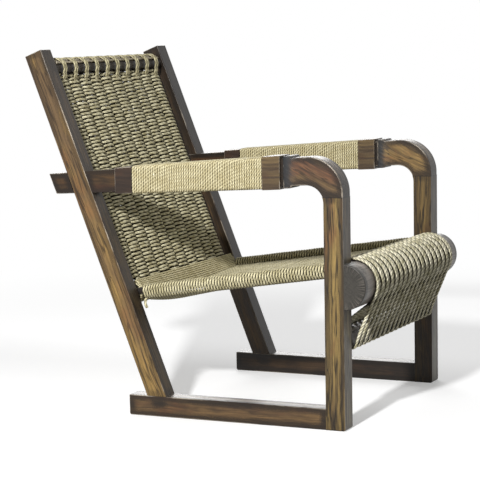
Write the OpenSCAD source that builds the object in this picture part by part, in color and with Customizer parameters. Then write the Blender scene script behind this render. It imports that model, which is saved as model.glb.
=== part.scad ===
// Lounge armchair in stained timber and twisted rope.
// Two sled side frames carry a leaning woven back, a dished woven seat
// and a rope apron that runs from the fat front roller to a low stretcher.
// Axes: X across the chair, -Y to the front, +Z up, millimetres.

/* [Overall] */
// Width over the outer faces of the two side frames
frame_w = 640; // [560:1:770]
// Height of the back legs at their top front corner
chair_h = 850; // [700:1:960]
// Thickness of the side frame timber, across the chair
timber_t = 46; // [38:1:54]

/* [Side frames] */
// Depth of the front post, front to rear
post_d = 46; // [40:1:54]
// Height of the floor runner
runner_h = 48; // [40:1:58]
// Distance from the post's front face to the runner's rear end
runner_l = 540; // [500:1:640]
// Distance from the post's front face to the front of the leg at the runner
leg_foot_y = 444; // [400:1:500]
// Depth of the back leg, square to its length
leg_d = 46; // [40:1:54]
// Lean of the back legs from upright, in degrees
leg_lean = 21; // [16:0.5:25.5]
// Radius that eases the lower corners of the posts and runners
foot_ease_r = 5; // [2:0.5:8]

/* [Arms] */
// Height of the arm's top above the floor, at the elbow
arm_h = 608; // [570:1:640]
// Depth of the arm at the elbow
arm_d = 63; // [56:1:70]
// Fall of the arm's top edge toward the rear, in degrees
arm_top_fall = 4.2; // [2:0.1:6]
// Fall of the arm's lower edge toward the rear, in degrees
arm_under_fall = 2.9; // [1:0.1:4]
// Height of the joint between the post and the elbow block
elbow_joint_z = 520; // [500:1:528]
// Outer radius of the elbow
elbow_outer_r = 80; // [70:1:90]
// Inner radius of the elbow
elbow_inner_r = 40; // [30:1:46]
// Distance from the post's front face to the rear end of the elbow block
elbow_l = 139; // [130:1:160]
// Length of the raised shoulder at the elbow block's rear end
shoulder_l = 20; // [12:1:26]
// Height of the shoulder above the arm's faces
shoulder_proud = 5; // [2:0.5:6]
// Length over which the elbow's two side faces swell out to the shoulder
shoulder_swell = 14; // [8:1:24]
// Width of the groove between the shoulder and the front cuff
groove_w = 7; // [4:0.5:10]
// Length of each wooden cuff
cuff_l = 44; // [30:1:60]
// Wall of the front cuff
front_cuff_wall = 7; // [5:0.5:10]
// Wall of the rear cuff
rear_cuff_wall = 4; // [3:0.5:6]
// Bare arm between the rear cuff and the back leg
bare_arm_l = 71; // [40:1:100]
// Length of the arm's tail behind the back leg
arm_tail_l = 47; // [30:1:70]

/* [Cross members] */
// Diameter of the front roller
roller_d = 103; // [90:1:124]
// Radius that eases the rims of the roller's ends
roller_rim_r = 3; // [1.5:0.5:6]
// Height of the front roller's axis
roller_z = 322; // [300:1:340]
// Depth of the low front stretcher
stretcher_d = 44; // [34:1:46]
// Height of the low front stretcher's section
stretcher_h = 30; // [24:1:40]
// Height of the stretcher's underside
stretcher_z = 182; // [150:1:200]
// Diameter of the top bar
top_bar_d = 32; // [26:1:38]
// Distance from the legs' top corner down to the top bar's axis
top_bar_drop = 47; // [40:1:70]
// Diameter of the rear seat bar
rear_bar_d = 40; // [34:1:46]
// Height of the rear seat bar's axis
rear_bar_z = 278; // [262:1:290]
// Diameter of the two seat rails
seat_rail_d = 18; // [14:1:22]
// Height of the seat rails' axes above the roller's axis, at the roller
seat_rail_rise = 38.5; // [34:0.5:40]
// Fall of the seat toward the rear, in degrees
seat_fall = 8.2; // [6:0.1:10]

/* [Rope] */
// Diameter of the rope round the roller, the top bar and the rear bar
warp_d = 8; // [6:0.5:9]
// Diameter of the finer cord on the arms and the seat rails
cord_d = 6; // [4:0.5:7]
// Thickness of the woven back
back_weave_t = 22; // [18:1:26]
// Depth of the seat's top below the rails' axes, at the rails
seat_edge_drop = 2; // [0:0.5:6]
// Further drop of the seat's top at its middle
seat_top_sag = 8; // [2:1:16]
// Sag of the seat's underside at its middle
seat_under_sag = 25; // [18:1:34]
// Gap between the weave and the side frames
weave_gap = 12; // [8:1:20]
// Number of rope pairs that run over the roller and down the apron
apron_pairs = 18; // [9:1:18]
// Number of rope loops over the top bar
top_loops_n = 10; // [6:1:10]
// Distance from the top bar's axis down to the first woven row
loop_drop = 34; // [28:1:50]

/* [Joinery] */
// Length of the tenons and the pegs' reach into each piece
tenon_l = 26; // [18:1:32]
// Step left round a flat tenon, above and below
tenon_step = 10; // [6:1:12]
// Step left round the round tenon of a cross bar
bar_step = 4; // [3:0.5:6]
// Thickness of the flat tenons
tenon_t = 16; // [12:1:20]
// Diameter of the pegs in the elbow joints
peg_d = 10; // [8:1:12]
// Diameter of the pegs that hold the roller to the posts
roller_peg_d = 12; // [8:1:14]
// Clearance of every peg, tenon and sleeve in its seat
fit = 0.15; // [0.1:0.05:0.3]
// Clearance between the rope and the timber it lies on
rope_fit = 0.3; // [0.2:0.1:0.5]

/* [Hidden] */
$fn = 96;
eps = 0.01;

timber = [0.33, 0.22, 0.13];
dark_timber = [0.20, 0.16, 0.13];
rope = [0.72, 0.66, 0.45];
fine_rope = [0.80, 0.75, 0.54];

half_w = frame_w / 2;
inner_x = half_w - timber_t;
lean_tan = tan(leg_lean);
leg_run = leg_d / cos(leg_lean);
roller_r = roller_d / 2;
rear_bar_r = rear_bar_d / 2;
top_bar_r = top_bar_d / 2;
seat_rail_r = seat_rail_d / 2;

// Front face of the back leg at height z
function leg_front(z) = leg_foot_y + (z - runner_h) * lean_tan;
// Centre line of the back leg at height z
function leg_mid(z) = leg_front(z) + leg_run / 2;

// The arm's top edge is tangent to the elbow's outer arc, its lower edge to the inner arc
outer_c = [elbow_outer_r, arm_h - elbow_outer_r];
inner_c = [post_d + elbow_inner_r, arm_h - arm_d - elbow_inner_r];
function arm_top(y) =
    outer_c.y + elbow_outer_r / cos(arm_top_fall) - (y - outer_c.x) * tan(arm_top_fall);
function arm_under(y) =
    inner_c.y + elbow_inner_r / cos(arm_under_fall) - (y - inner_c.x) * tan(arm_under_fall);

front_cuff_y = elbow_l + groove_w;
wrap_y = front_cuff_y + cuff_l;
arm_mid_z = (arm_top(leg_mid(arm_h - arm_d)) + arm_under(leg_mid(arm_h - arm_d))) / 2;
rear_cuff_y = leg_front(arm_mid_z) - bare_arm_l - cuff_l;
wrap_l = rear_cuff_y - wrap_y;
tail_y = leg_front(arm_mid_z) + leg_run + arm_tail_l;

leg_tip = [leg_front(chair_h), chair_h];
leg_tip_rear = [leg_tip.x + leg_d * cos(leg_lean), chair_h - leg_d * sin(leg_lean)];
top_bar_z = chair_h - top_bar_drop;
top_bar_c = [leg_mid(top_bar_z), top_bar_z];
rear_bar_c = [leg_mid(rear_bar_z), rear_bar_z];

function seat_axis_z(y) = roller_z + seat_rail_rise - y * tan(seat_fall);
seat_wrap_r = seat_rail_r + rope_fit + cord_d;
seat_rail_x = inner_x - seat_wrap_r - rope_fit;
weave_x = inner_x - weave_gap;

// The whole chair is centred front to rear over its own footprint in plan
front_reach = roller_r + rope_fit + warp_d;
centre_y = (leg_tip_rear.x - front_reach) / 2;

module placed() translate([0, -centre_y, 0]) children();
module other_side() mirror([1, 0, 0]) children();

// Extrudes a side view, drawn as [Y, Z], across the chair from x0 to x1
module across(x0, x1) {
    translate([x0, 0, 0])
        rotate([90, 0, 90])
            linear_extrude(x1 - x0) children();
}

// Material to take off a square corner at the origin, so that it ends in an arc
module corner_cut(r) {
    difference() {
        translate([-1, -1])
            square(r + 1);
        translate([r, r])
            circle(r);
    }
}

module peg(d, l) {
    cylinder(d = d, h = l, center = true);
}

// ---------------------------------------------------------------- side frame

post_mortise_z = runner_h / 2;
runner_tenon_h = runner_h - 2 * tenon_step;
leg_tenon_run = leg_run - 2 * tenon_step;

// The tenon on the foot of the leg follows the leg's lean into the runner
module leg_tenon_profile(grow) {
    foot = runner_h - tenon_l - grow;
    y0 = leg_foot_y + tenon_step - grow;
    y1 = y0 + leg_tenon_run + 2 * grow;
    drop = (runner_h - foot) * lean_tan;
    rise = lean_tan;
    polygon([[y0 - drop, foot], [y1 - drop, foot], [y1 + rise, runner_h + 1], [y0 + rise, runner_h + 1]]);
}

module runner_right() {
    color(timber)
        difference() {
            union() {
                across(-half_w, -inner_x)
                    difference() {
                        translate([post_d, 0])
                            square([runner_l - post_d, runner_h]);
                        translate([runner_l, 0])
                            mirror([1, 0])
                                corner_cut(foot_ease_r);
                    }
                translate([-half_w + timber_t / 2, post_d - tenon_l / 2 + eps / 2, post_mortise_z])
                    cube([tenon_t, tenon_l + eps, runner_tenon_h], center = true);
            }
            across(-half_w + (timber_t - tenon_t) / 2 - fit, -half_w + (timber_t + tenon_t) / 2 + fit)
                leg_tenon_profile(fit);
        }
}

module post_peg_holes(grow) {
    for (y = [post_d * 0.3, post_d * 0.7])
        translate([-half_w + timber_t / 2, y, elbow_joint_z])
            peg(peg_d + 2 * grow, 2 * (tenon_l + grow));
}

module arm_peg_holes(grow) {
    mid_z = (arm_top(elbow_l) + arm_under(elbow_l)) / 2;
    for (dz = [-arm_d / 5, arm_d / 5])
        translate([-half_w + timber_t / 2, elbow_l, mid_z + dz])
            rotate([90, 0, 0])
                peg(peg_d + 2 * grow, 2 * (tenon_l + grow));
}

module roller_peg_holes(grow) {
    for (dz = [-roller_r / 2, roller_r / 2])
        translate([-half_w + timber_t / 2, 0, roller_z + dz])
            rotate([90, 0, 0])
                peg(roller_peg_d + 2 * grow, 2 * (tenon_l + grow));
}

// Side view of the post and elbow together, before they are cut apart at the joint
module post_and_elbow_profile() {
    top_y = outer_c.x + elbow_outer_r * sin(arm_top_fall);
    under_y = inner_c.x + elbow_inner_r * sin(arm_under_fall);
    difference() {
        union() {
            translate([outer_c.x, outer_c.y])
                circle(elbow_outer_r);
            square([post_d, outer_c.y]);
            polygon([[0, inner_c.y], [0, outer_c.y], [outer_c.x, outer_c.y],
                     [top_y, arm_top(top_y)], [elbow_l, arm_top(elbow_l)],
                     [elbow_l, arm_under(elbow_l)], [under_y, arm_under(under_y)],
                     [inner_c.x, inner_c.y], [post_d, inner_c.y]]);
        }
        translate([inner_c.x, inner_c.y])
            circle(elbow_inner_r);
        translate([post_d, inner_c.y - elbow_outer_r * 2])
            square([elbow_outer_r * 3, elbow_outer_r * 2]);
        polygon([[inner_c.x, inner_c.y], [under_y, arm_under(under_y)],
                 [elbow_l + 1, arm_under(elbow_l + 1)], [elbow_l + 1, inner_c.y]]);
        corner_cut(foot_ease_r);
    }
}

module front_post_right() {
    color(timber)
        difference() {
            across(-half_w, -inner_x)
                intersection() {
                    post_and_elbow_profile();
                    translate([-1, 0])
                        square([elbow_l + 2, elbow_joint_z]);
                }
            translate([-half_w + timber_t / 2, post_d - tenon_l / 2 + 1, post_mortise_z])
                cube([tenon_t + 2 * fit, tenon_l + 2 + 2 * fit, runner_tenon_h + 2 * fit], center = true);
            post_peg_holes(fit);
            roller_peg_holes(fit);
            stretcher_tenon(fit);
        }
}

// Side view of the raised shoulder, which steps out above and below the arm
module shoulder_side() {
    y0 = elbow_l - shoulder_l - shoulder_swell;
    y1 = elbow_l - shoulder_l;
    y2 = y1 + shoulder_proud / 2;
    polygon([[y0, arm_under(y0)], [y1, arm_under(y1)], [y2, arm_under(y2) - shoulder_proud],
             [elbow_l, arm_under(elbow_l) - shoulder_proud], [elbow_l, arm_top(elbow_l) + shoulder_proud],
             [y2, arm_top(y2) + shoulder_proud], [y1, arm_top(y1)], [y0, arm_top(y0)]]);
}

// Plan of the raised shoulder, which swells out of the elbow's two side faces
module shoulder_plan() {
    y0 = elbow_l - shoulder_l - shoulder_swell;
    y1 = elbow_l - shoulder_l / 2;
    polygon([[-half_w, y0], [-half_w - shoulder_proud, y1], [-half_w - shoulder_proud, elbow_l],
             [-inner_x + shoulder_proud, elbow_l], [-inner_x + shoulder_proud, y1], [-inner_x, y0]]);
}

module shoulder() {
    intersection() {
        across(-half_w - shoulder_proud, -inner_x + shoulder_proud)
            shoulder_side();
        linear_extrude(arm_h + 2 * shoulder_proud)
            shoulder_plan();
    }
}

module elbow_right() {
    color(timber)
        difference() {
            union() {
                across(-half_w, -inner_x)
                    intersection() {
                        post_and_elbow_profile();
                        translate([-1, elbow_joint_z])
                            square([elbow_l + 1, arm_h]);
                    }
                shoulder();
            }
            post_peg_holes(fit);
            arm_peg_holes(fit);
        }
}

// Side view of the arm rail, from the elbow block to its raked tail
module arm_rail_profile() {
    tail_top = arm_top(tail_y);
    tail_under = arm_under(tail_y);
    tail_lean = (tail_top - tail_under) / 2 * lean_tan;
    polygon([[elbow_l, arm_under(elbow_l)], [tail_y - tail_lean, arm_under(tail_y - tail_lean)],
             [tail_y + tail_lean, arm_top(tail_y + tail_lean)], [elbow_l, arm_top(elbow_l)]]);
}

// Side view of the back leg over its whole length, without its tenon
module back_leg_profile() {
    polygon([[leg_foot_y, runner_h], [leg_foot_y + leg_run, runner_h], leg_tip_rear, leg_tip]);
}

// The leg keeps its outer half at the crossing, the arm keeps its inner half
module arm_rail_right() {
    color(timber)
        difference() {
            across(-half_w, -inner_x)
                arm_rail_profile();
            across(-half_w - 1, -half_w + timber_t / 2 + fit / 2)
                offset_leg_profile(fit);
            arm_peg_holes(fit);
        }
}

// The leg's outline let out by the fit at its front and rear faces
module offset_leg_profile(grow) {
    g = grow / cos(leg_lean);
    polygon([[leg_front(0) - g, 0], [leg_front(0) + leg_run + g, 0],
             [leg_front(chair_h) + leg_run + g, chair_h], [leg_front(chair_h) - g, chair_h]]);
}

module back_leg_right() {
    color(timber)
        difference() {
            union() {
                across(-half_w, -inner_x)
                    back_leg_profile();
                across(-half_w + (timber_t - tenon_t) / 2, -half_w + (timber_t + tenon_t) / 2)
                    leg_tenon_profile(0);
            }
            across(-half_w + timber_t / 2 - fit / 2, -inner_x + 1)
                offset_arm_profile(fit);
            bar_tenon(top_bar_c, top_bar_d - 2 * bar_step, fit);
            bar_tenon(rear_bar_c, rear_bar_d - 2 * bar_step, fit);
        }
}

// The arm's outline let out by the fit above and below
module offset_arm_profile(grow) {
    polygon([[elbow_l, arm_under(elbow_l) - grow], [tail_y * 2, arm_under(tail_y * 2) - grow],
             [tail_y * 2, arm_top(tail_y * 2) + grow], [elbow_l, arm_top(elbow_l) + grow]]);
}

// ---------------------------------------------------------------- arms

// A sleeve of one wall thickness round the arm, square to the floor at both ends
module sleeve(y0, l, wall) {
    y1 = y0 + l;
    difference() {
        across(-half_w - wall, -inner_x + wall)
            polygon([[y0, arm_under(y0) - wall], [y1, arm_under(y1) - wall],
                     [y1, arm_top(y1) + wall], [y0, arm_top(y0) + wall]]);
        across(-half_w - fit, -inner_x + fit)
            polygon([[y0 - 1, arm_under(y0 - 1) - fit], [y1 + 1, arm_under(y1 + 1) - fit],
                     [y1 + 1, arm_top(y1 + 1) + fit], [y0 - 1, arm_top(y0 - 1) + fit]]);
    }
}

module front_cuff_right() {
    color(dark_timber)
        sleeve(front_cuff_y, cuff_l, front_cuff_wall);
}

module rear_cuff_right() {
    color(dark_timber)
        sleeve(rear_cuff_y, cuff_l, rear_cuff_wall);
}

// Fine cord wound tightly round the arm between the two cuffs
module arm_wrap_right() {
    color(fine_rope)
        difference() {
            sleeve(wrap_y + rope_fit, wrap_l - 2 * rope_fit, cord_d);
            across(-half_w - rope_fit, -inner_x + rope_fit)
                polygon([[wrap_y, arm_under(wrap_y) - rope_fit],
                         [rear_cuff_y, arm_under(rear_cuff_y) - rope_fit],
                         [rear_cuff_y, arm_top(rear_cuff_y) + rope_fit],
                         [wrap_y, arm_top(wrap_y) + rope_fit]]);
        }
}

// ---------------------------------------------------------------- cross members

// Half of the roller's long section, with its two rims eased
module roller_section() {
    difference() {
        square([roller_r, frame_w]);
        translate([roller_r, 0])
            mirror([1, 0])
                corner_cut(roller_rim_r);
        translate([roller_r, frame_w])
            rotate(180)
                corner_cut(roller_rim_r);
    }
}

// The roller keeps its full round between the posts and a front half over each post
module front_roller() {
    color(dark_timber)
        difference() {
            translate([-half_w, 0, roller_z])
                rotate([0, 90, 0])
                    rotate_extrude()
                        roller_section();
            for (s = [-1, 1])
                scale_x(s)
                    translate([inner_x - fit, 0, roller_z - roller_d])
                        cube([timber_t + 1 + fit, roller_d, roller_d * 2]);
            roller_peg_holes(fit);
            other_side()
                roller_peg_holes(fit);
            seat_rail_rod(fit);
            other_side()
                seat_rail_rod(fit);
        }
}

module scale_x(s) {
    if (s < 0)
        other_side() children();
    else
        children();
}

// A tenon at each end of the stretcher, centred in its section
module stretcher_tenon(grow) {
    h = stretcher_h - tenon_step + 2 * grow;
    translate([-inner_x - tenon_l - grow, post_d / 2 - tenon_t / 2 - grow,
               stretcher_z + stretcher_h / 2 - h / 2])
        cube([tenon_l + grow + eps, tenon_t + 2 * grow, h]);
}

module front_stretcher() {
    color(dark_timber)
        union() {
            translate([-inner_x, (post_d - stretcher_d) / 2, stretcher_z])
                cube([inner_x * 2, stretcher_d, stretcher_h]);
            stretcher_tenon(0);
            other_side()
                stretcher_tenon(0);
        }
}

// Round tenon at each end of a cross bar
module bar_tenon(c, d, grow) {
    translate([-inner_x - tenon_l - grow, c.x, c.y])
        rotate([0, 90, 0])
            cylinder(d = d + 2 * grow, h = tenon_l + grow + eps);
}

module cross_bar(c, d, tenon_d) {
    union() {
        translate([-inner_x, c.x, c.y])
            rotate([0, 90, 0])
                cylinder(d = d, h = inner_x * 2);
        bar_tenon(c, tenon_d, 0);
        other_side()
            bar_tenon(c, tenon_d, 0);
    }
}

module top_bar() {
    color(dark_timber)
        cross_bar(top_bar_c, top_bar_d, top_bar_d - 2 * bar_step);
}

module rear_bar() {
    color(dark_timber)
        difference() {
            cross_bar(rear_bar_c, rear_bar_d, rear_bar_d - 2 * bar_step);
            seat_rail_rod(fit);
            other_side()
                seat_rail_rod(fit);
        }
}

// The rail is let into the back of the roller and the front of the rear bar
rail_reach = 15;
rail_y0 = sqrt(pow(roller_r, 2) - pow(seat_rail_rise - seat_rail_r / 2, 2)) - rail_reach;
rail_y1 = rear_bar_c.x - rear_bar_r + rail_reach;

module seat_rail_rod(grow) {
    y0 = rail_y0 - grow;
    y1 = rail_y1 + grow;
    translate([-seat_rail_x, y0, seat_axis_z(y0)])
        rotate([-90 - seat_fall, 0, 0])
            cylinder(r = seat_rail_r + grow, h = (y1 - y0) / cos(seat_fall));
}

module seat_rail_right() {
    color(dark_timber)
        seat_rail_rod(0);
}

// ---------------------------------------------------------------- rope work

// Woven back: a flat panel on the legs' centre plane between the two bars
module back_weave() {
    panel_l = (top_bar_z - rear_bar_z) / cos(leg_lean);
    bottom = rear_bar_r + rope_fit * 2 + warp_d;
    color(rope)
        translate([0, rear_bar_c.x, rear_bar_c.y])
            rotate([-leg_lean, 0, 0])
                translate([-weave_x, -back_weave_t / 2, bottom])
                    cube([weave_x * 2, back_weave_t, panel_l - bottom - loop_drop]);
}

// A round that passes through both rails' centre planes at depth edge and hangs lower by sag
module sagging_round(edge, sag) {
    r = (pow(seat_rail_x, 2) + pow(sag, 2)) / (2 * sag);
    translate([0, r - edge - sag])
        circle(r, $fn = 400);
}

// Cross section of the seat: two layers of cord that sag apart between rings round the rails
module seat_section() {
    difference() {
        union() {
            for (s = [-1, 1])
                translate([s * seat_rail_x, 0])
                    circle(seat_wrap_r);
            intersection() {
                difference() {
                    sagging_round(seat_wrap_r - rope_fit, seat_under_sag);
                    sagging_round(seat_edge_drop, seat_top_sag);
                }
                translate([-seat_rail_x, -seat_wrap_r - seat_under_sag])
                    square([seat_rail_x * 2, seat_wrap_r + seat_under_sag]);
            }
        }
        for (s = [-1, 1])
            translate([s * seat_rail_x, 0])
                circle(seat_rail_r + rope_fit);
    }
}

seat_front_y = roller_r + rope_fit * 2 + warp_d;
seat_rear_y = rear_bar_c.x - rear_bar_r - rope_fit * 2 - warp_d;

module seat_weave() {
    l = (seat_rear_y - seat_front_y) / cos(seat_fall);
    color(rope)
        translate([0, seat_front_y, seat_axis_z(seat_front_y)])
            rotate([-seat_fall, 0, 0])
                rotate([90, 0, 0])
                    mirror([0, 0, 1])
                        linear_extrude(l)
                            seat_section();
}

// Part of a ring between two angles, measured from straight up toward the front
module ring_arc(r0, r1, a0, a1) {
    reach = r1 * 2;
    steps = 8;
    intersection() {
        difference() {
            circle(r1);
            circle(r0);
        }
        polygon(concat([[0, 0]],
            [for (i = [0:steps]) let (a = a0 + (a1 - a0) * i / steps) [-reach * sin(a), reach * cos(a)]]));
    }
}

// Angles round the roller and the stretcher's corners run from straight up toward the front
function radial(a) = [-sin(a), cos(a)];
function arc_points(c, r, a0, a1, n = 4) = [for (i = [0:n]) c + r * radial(a0 + (a1 - a0) * i / n)];

// Square to the rope's run at point i, long enough to keep its width where it turns
function side_step(points, i) =
    let (last = len(points) - 1,
         p = points[max(i - 1, 0)], q = points[i], r = points[min(i + 1, last)],
         u = (q - p) / max(norm(q - p), eps), v = (r - q) / max(norm(r - q), eps),
         m = i == 0 ? v : i == last ? u : (u + v) / norm(u + v),
         stretch = i == 0 || i == last ? 1 : m * v)
    [-m.y, m.x] / stretch;

// Side view of a rope of diameter d that follows a route's points from number first to number last
module rope_path(route, d, first, last) {
    polygon(concat([for (i = [first:last]) route[i] + side_step(route, i) * d / 2],
                   [for (i = [last:-1:first]) route[i] - side_step(route, i) * d / 2]));
}

// The rope's centre line keeps this far from any timber that it lies on
lie = rope_fit + warp_d / 2;
rope_r = roller_r + lie;
roller_c = [0, roller_z];
stretcher_front = (post_d - stretcher_d) / 2;
stretcher_back = stretcher_front + stretcher_d;
stretcher_top = stretcher_z + stretcher_h;
// The two ropes of a pair meet under the middle of the stretcher
under_front = [post_d / 2 - rope_fit, stretcher_z - lie];
under_back = [post_d / 2 + rope_fit, stretcher_z - lie];

// Angle at which a straight rope leaves the roller for a turn round point c,
// with both turns on one side of the rope or, when crossed, on opposite sides
function leave_angle(c, crossed) =
    let (v = c - roller_c, reach = crossed ? rope_r + lie : rope_r - lie)
    atan2(-v.x, v.y) + (v.x > 0 ? 360 : 0) - acos(reach / norm(v));

front_corner = [stretcher_front, stretcher_z];
top_corner = [stretcher_back, stretcher_top];
back_corner = [stretcher_back, stretcher_z];
front_leave = leave_angle(front_corner, false);
back_leave = leave_angle(top_corner, true);
// The ropes reach down the roller's back, except the two that pass over the rails' ends
rope_start = -62;
rope_start_at_rail = -acos((seat_rail_rise + seat_rail_r + rope_fit) / (roller_r + rope_fit));
pair_pitch = (weave_x * 2 - warp_d * 2) / (apron_pairs - 1);

// Lays a side view across the chair once for each pair, w wide and starting dx into the pair
module each_pair(dx, w) {
    for (i = [0:apron_pairs - 1]) {
        x = -weave_x + i * pair_pitch + dx;
        across(x, x + w)
            children();
    }
}

// Ropes that come from the seat and lie over the top and front of the roller
module roller_ropes() {
    color(rope)
        for (i = [0:apron_pairs - 1]) {
            x = -weave_x + i * pair_pitch;
            over_rail = max(abs(x), abs(x + warp_d * 2)) > seat_rail_x - seat_rail_r - rope_fit;
            across(x, x + warp_d * 2)
                translate(roller_c)
                    ring_arc(roller_r + rope_fit, roller_r + rope_fit + warp_d,
                             over_rail ? rope_start_at_rail : rope_start, front_leave);
        }
}

// The front rope's route: off the roller, straight down and round the stretcher's front corner
front_route = concat([roller_c + rope_r * radial(front_leave)],
                     arc_points(front_corner, lie, front_leave, 180), [under_front]);

// The rear rope's route: further round the roller, then over the stretcher's back and under it
roller_turn = arc_points(roller_c, rope_r, front_leave + 1, back_leave);
rear_route = concat([roller_c + rope_r * radial(front_leave)], roller_turn,
                    arc_points(top_corner, lie, back_leave - 180, -90),
                    arc_points(back_corner, lie, -90, -180), [under_back]);
rear_turn_at = len(roller_turn) + 1;

module apron_front_ropes() {
    color(rope)
        each_pair(0, warp_d)
            rope_path(front_route, warp_d, 0, 1);
}

module apron_rear_ropes() {
    color(rope)
        each_pair(warp_d, warp_d)
            rope_path(rear_route, warp_d, 0, rear_turn_at);
}

module stretcher_turns() {
    color(rope) {
        each_pair(0, warp_d)
            rope_path(front_route, warp_d, 1, len(front_route) - 1);
        each_pair(warp_d, warp_d)
            rope_path(rear_route, warp_d, rear_turn_at, len(rear_route) - 1);
    }
}

// Fine cord laid lengthwise over the top bar, under the loops
module top_lay_profile(grow) {
    spread = 70;
    ring_arc(top_bar_r + rope_fit - grow, top_bar_r + rope_fit + cord_d + grow, -spread - grow, spread + grow);
}

module top_lay() {
    color(fine_rope)
        translate([0, top_bar_c.x, top_bar_c.y])
            across(-weave_x, weave_x)
                top_lay_profile(0);
}

// A closed loop of rope that narrows from the round of the bar to the weave
module loop_profile(r, rise, tip_r, drop) {
    l = drop + rise;
    a = acos((r - tip_r) / l);
    translate([0, rise]) {
        circle(r);
        translate([0, -l])
            circle(tip_r);
        polygon([[-r * sin(a), -r * cos(a)], [r * sin(a), -r * cos(a)],
                 [tip_r * sin(a), -l - tip_r * cos(a)], [-tip_r * sin(a), -l - tip_r * cos(a)]]);
    }
}

module top_loops() {
    pitch = weave_x * 2 / top_loops_n;
    rise = (cord_d + rope_fit) / 2;
    r = top_bar_r + rope_fit + warp_d + rise;
    color(rope)
        translate([0, top_bar_c.x, top_bar_c.y])
            difference() {
                rotate([-leg_lean, 0, 0])
                    for (i = [0:top_loops_n - 1])
                        across(-weave_x + (i + 0.5) * pitch - warp_d, -weave_x + (i + 0.5) * pitch + warp_d)
                            loop_profile(r, rise, warp_d, loop_drop - warp_d - rope_fit);
                across(-inner_x, inner_x) {
                    circle(top_bar_r + rope_fit);
                    top_lay_profile(rope_fit);
                }
            }
}

// Rope packed round the rear bar, where the seat and the back are anchored
module rear_bar_wrap() {
    slot_r = seat_rail_r + rope_fit;
    color(rope)
        difference() {
            translate([-inner_x + rope_fit, rear_bar_c.x, rear_bar_c.y])
                rotate([0, 90, 0])
                    difference() {
                        cylinder(r = rear_bar_r + rope_fit + warp_d, h = 2 * (inner_x - rope_fit));
                        translate([0, 0, -1])
                            cylinder(r = rear_bar_r + rope_fit, h = 2 * inner_x + 2);
                    }
            for (s = [-1, 1])
                scale_x(s)
                    translate([seat_rail_x, 0, seat_axis_z(0)])
                        rotate([-90 - seat_fall, 0, 0])
                            cylinder(r = slot_r, h = rear_bar_c.x / cos(seat_fall));
        }
}

// ---------------------------------------------------------------- hidden pegs

module elbow_pegs() {
    color(timber)
        for (s = [-1, 1])
            scale_x(-s) {
                post_peg_holes(0);
                arm_peg_holes(0);
            }
}

module roller_pegs() {
    color(timber)
        for (s = [-1, 1])
            scale_x(-s)
                roller_peg_holes(0);
}

placed() runner_right();
placed() other_side() runner_right();  // runner_left
placed() front_post_right();
placed() other_side() front_post_right();  // front_post_left
placed() elbow_right();
placed() other_side() elbow_right();  // elbow_left
placed() arm_rail_right();
placed() other_side() arm_rail_right();  // arm_rail_left
placed() back_leg_right();
placed() other_side() back_leg_right();  // back_leg_left
placed() front_cuff_right();
placed() other_side() front_cuff_right();  // front_cuff_left
placed() rear_cuff_right();
placed() other_side() rear_cuff_right();  // rear_cuff_left
placed() arm_wrap_right();
placed() other_side() arm_wrap_right();  // arm_wrap_left
placed() front_roller();
placed() front_stretcher();
placed() top_bar();
placed() rear_bar();
placed() seat_rail_right();
placed() other_side() seat_rail_right();  // seat_rail_left
placed() back_weave();
placed() seat_weave();
placed() roller_ropes();
placed() apron_front_ropes();
placed() apron_rear_ropes();
placed() stretcher_turns();
placed() top_lay();
placed() top_loops();
placed() rear_bar_wrap();
placed() elbow_pegs();
placed() roller_pegs();
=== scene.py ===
import math

import bmesh
import bpy
import numpy as np
from mathutils import Matrix, Vector, noise
from mathutils.bvhtree import BVHTree


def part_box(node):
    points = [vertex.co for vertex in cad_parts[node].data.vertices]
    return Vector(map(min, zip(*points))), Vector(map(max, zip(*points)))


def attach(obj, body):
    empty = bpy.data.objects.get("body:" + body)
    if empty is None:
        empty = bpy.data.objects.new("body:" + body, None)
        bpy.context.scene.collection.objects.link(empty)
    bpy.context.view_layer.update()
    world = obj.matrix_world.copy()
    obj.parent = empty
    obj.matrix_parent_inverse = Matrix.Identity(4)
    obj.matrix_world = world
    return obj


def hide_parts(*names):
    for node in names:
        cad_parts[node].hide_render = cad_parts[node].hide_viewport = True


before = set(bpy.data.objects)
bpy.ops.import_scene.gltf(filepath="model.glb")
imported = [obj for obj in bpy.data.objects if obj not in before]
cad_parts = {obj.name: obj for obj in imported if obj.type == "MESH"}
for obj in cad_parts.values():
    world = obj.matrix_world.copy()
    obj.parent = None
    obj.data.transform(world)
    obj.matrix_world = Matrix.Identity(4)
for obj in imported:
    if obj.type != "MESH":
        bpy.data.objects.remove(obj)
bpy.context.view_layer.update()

# ---------------------------------------------------------------- studio
# A matt white studio floor under one low, hard key light from the sitter's right. The white
# surroundings are seen by the camera and mirrored in the wax, and add only a soft fill.


def linear(code):
    """Turns an sRGB hex colour into the linear colour that a shader takes."""
    parts = [int(code[i:i + 2], 16) / 255 for i in (1, 3, 5)]
    return [c / 12.92 if c <= 0.04045 else ((c + 0.055) / 1.055) ** 2.4 for c in parts] + [1.0]


def add_node(tree, kind, inputs=None, **settings):
    """Adds a node, applies its settings, then fills or links its input sockets."""
    node = tree.nodes.new(kind)
    for name, value in settings.items():
        setattr(node, name, value)
    for socket, value in (inputs or {}).items():
        if isinstance(value, bpy.types.NodeSocket):
            tree.links.new(value, node.inputs[socket])
        else:
            node.inputs[socket].default_value = value
    return node


def fresh_tree(holder):
    """Empties the node tree of a material or world and returns it."""
    holder.use_nodes = True
    holder.node_tree.nodes.clear()
    return holder.node_tree


scene = bpy.context.scene
scene.view_settings.view_transform = "Standard"

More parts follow.
